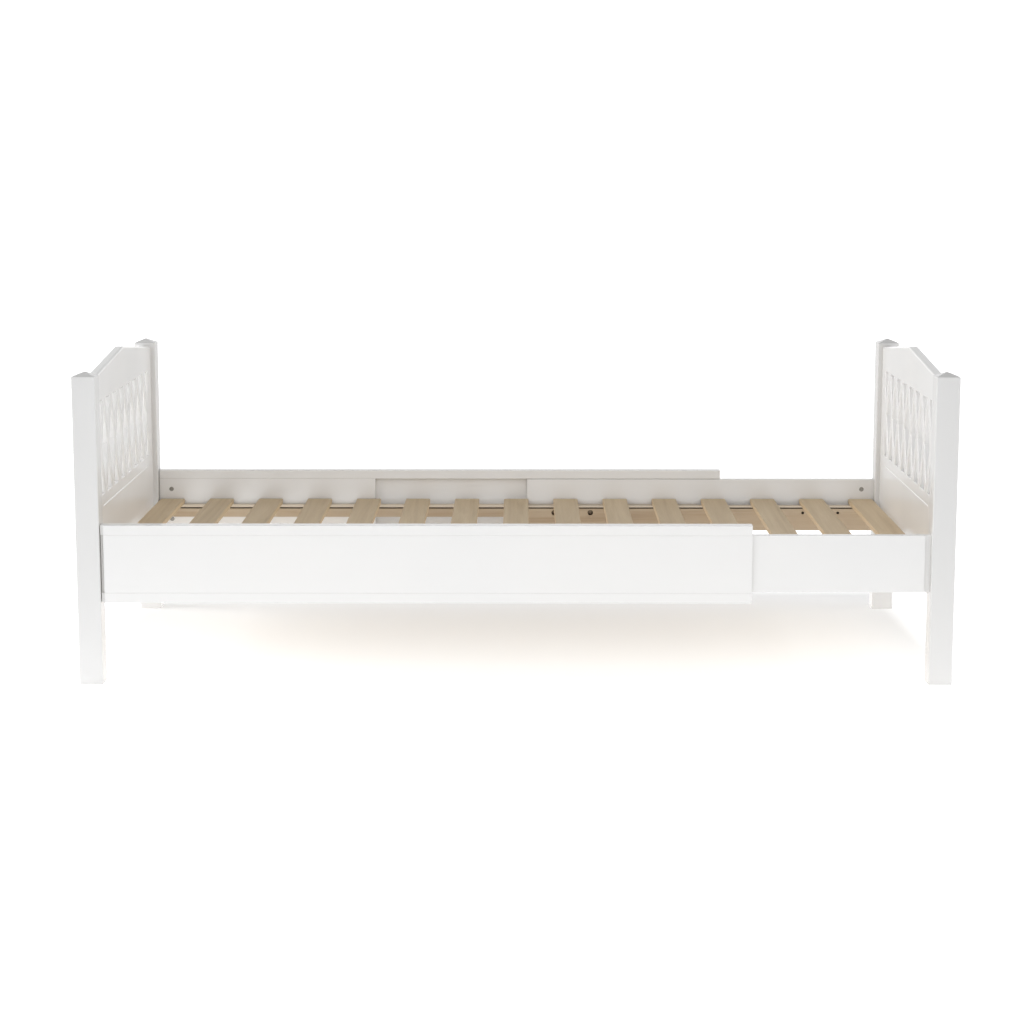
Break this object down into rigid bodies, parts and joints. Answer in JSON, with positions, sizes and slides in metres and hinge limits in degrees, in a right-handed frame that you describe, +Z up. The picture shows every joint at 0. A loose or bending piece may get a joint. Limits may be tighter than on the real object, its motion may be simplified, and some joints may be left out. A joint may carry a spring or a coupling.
{
  "type": "toddler bed",
  "caption": "Extending child's bed: painted posts and diamond-lattice end panels, telescoping channel side rails, flat wooden cross slats on ledges inside the rails.",
  "frame": {"origin": "on the floor, midway between the outside faces of the four posts with the bed drawn out", "axes": "+X from the head half to the sliding foot half, +Y from the front to the back, +Z up"},
  "size_m": [2.1, 0.981, 0.7715],
  "materials": {
    "painted_frame": "satin white paint on wood",
    "painted_rails": "satin white paint on wood",
    "ledge_wood": "bare pale softwood, planed",
    "slat_wood": "bare pale wood, planed, eased edges",
    "steel": "zinc-plated steel"
  },
  "bodies": {
    "head_half": {"head_post_front": "painted_frame", "head_post_back": "painted_frame", "head_panel": "painted_frame", "head_bolts": "steel", "head_barrel_nuts": "steel", "outer_rail_top_front": "painted_rails", "outer_rail_top_back": "painted_rails", "outer_rail_bottom_front": "painted_rails", "outer_rail_bottom_back": "painted_rails", "outer_rail_face_front": "painted_rails", "outer_rail_face_back": "painted_rails", "stop_block_front": "painted_rails", "stop_block_back": "painted_rails", "head_ledge_front": "ledge_wood", "head_ledge_back": "ledge_wood", "slat_01": "slat_wood"},
    "foot_half": {"foot_post_front": "painted_frame", "foot_post_back": "painted_frame", "foot_panel": "painted_frame", "foot_bolts": "steel", "foot_barrel_nuts": "steel", "inner_rail_front": "painted_rails", "inner_rail_back": "painted_rails", "foot_ledge_front": "ledge_wood", "foot_ledge_back": "ledge_wood", "slat_15": "slat_wood"},
    "slat_02": {"slat_02": "slat_wood"},
    "slat_03": {"slat_03": "slat_wood"},
    "slat_04": {"slat_04": "slat_wood"},
    "slat_05": {"slat_05": "slat_wood"},
    "slat_06": {"slat_06": "slat_wood"},
    "slat_07": {"slat_07": "slat_wood"},
    "slat_08": {"slat_08": "slat_wood"},
    "slat_09": {"slat_09": "slat_wood"},
    "slat_10": {"slat_10": "slat_wood"},
    "slat_11": {"slat_11": "slat_wood"},
    "slat_12": {"slat_12": "slat_wood"},
    "slat_13": {"slat_13": "slat_wood"},
    "slat_14": {"slat_14": "slat_wood"}
  },
  "joints": [
    {"name": "foot_extension", "type": "slide", "parent": "head_half", "child": "foot_half", "axis": [1, 0, 0], "range_m": [-0.4, 0]},
    {"name": "slat_02_slide", "type": "slide", "parent": "head_half", "child": "slat_02", "axis": [1, 0, 0], "range_m": [-0.0291, 0]},
    {"name": "slat_03_slide", "type": "slide", "parent": "head_half", "child": "slat_03", "axis": [1, 0, 0], "range_m": [-0.0576, 0]},
    {"name": "slat_04_slide", "type": "slide", "parent": "head_half", "child": "slat_04", "axis": [1, 0, 0], "range_m": [-0.0862, 0]},
    {"name": "slat_05_slide", "type": "slide", "parent": "head_half", "child": "slat_05", "axis": [1, 0, 0], "range_m": [-0.1148, 0]},
    {"name": "slat_06_slide", "type": "slide", "parent": "head_half", "child": "slat_06", "axis": [1, 0, 0], "range_m": [-0.1434, 0]},
    {"name": "slat_07_slide", "type": "slide", "parent": "head_half", "child": "slat_07", "axis": [1, 0, 0], "range_m": [-0.1719, 0]},
    {"name": "slat_08_slide", "type": "slide", "parent": "head_half", "child": "slat_08", "axis": [1, 0, 0], "range_m": [-0.2005, 0]},
    {"name": "slat_09_slide", "type": "slide", "parent": "head_half", "child": "slat_09", "axis": [1, 0, 0], "range_m": [-0.2291, 0]},
    {"name": "slat_10_slide", "type": "slide", "parent": "head_half", "child": "slat_10", "axis": [1, 0, 0], "range_m": [-0.2576, 0]},
    {"name": "slat_11_slide", "type": "slide", "parent": "head_half", "child": "slat_11", "axis": [1, 0, 0], "range_m": [-0.2862, 0]},
    {"name": "slat_12_slide", "type": "slide", "parent": "head_half", "child": "slat_12", "axis": [1, 0, 0], "range_m": [-0.3148, 0]},
    {"name": "slat_13_slide", "type": "slide", "parent": "head_half", "child": "slat_13", "axis": [1, 0, 0], "range_m": [-0.3434, 0]},
    {"name": "slat_14_slide", "type": "slide", "parent": "head_half", "child": "slat_14", "axis": [1, 0, 0], "range_m": [-0.3719, 0]}
  ],
  "couplings": [
    {"joint": "slat_02_slide", "follows": "foot_extension", "ratio": 0.071429},
    {"joint": "slat_03_slide", "follows": "foot_extension", "ratio": 0.14286},
    {"joint": "slat_04_slide", "follows": "foot_extension", "ratio": 0.21429},
    {"joint": "slat_05_slide", "follows": "foot_extension", "ratio": 0.28571},
    {"joint": "slat_06_slide", "follows": "foot_extension", "ratio": 0.35714},
    {"joint": "slat_07_slide", "follows": "foot_extension", "ratio": 0.42857},
    {"joint": "slat_08_slide", "follows": "foot_extension", "ratio": 0.5},
    {"joint": "slat_09_slide", "follows": "foot_extension", "ratio": 0.57143},
    {"joint": "slat_10_slide", "follows": "foot_extension", "ratio": 0.64286},
    {"joint": "slat_11_slide", "follows": "foot_extension", "ratio": 0.71429},
    {"joint": "slat_12_slide", "follows": "foot_extension", "ratio": 0.78571},
    {"joint": "slat_13_slide", "follows": "foot_extension", "ratio": 0.85714},
    {"joint": "slat_14_slide", "follows": "foot_extension", "ratio": 0.92857}
  ]
}
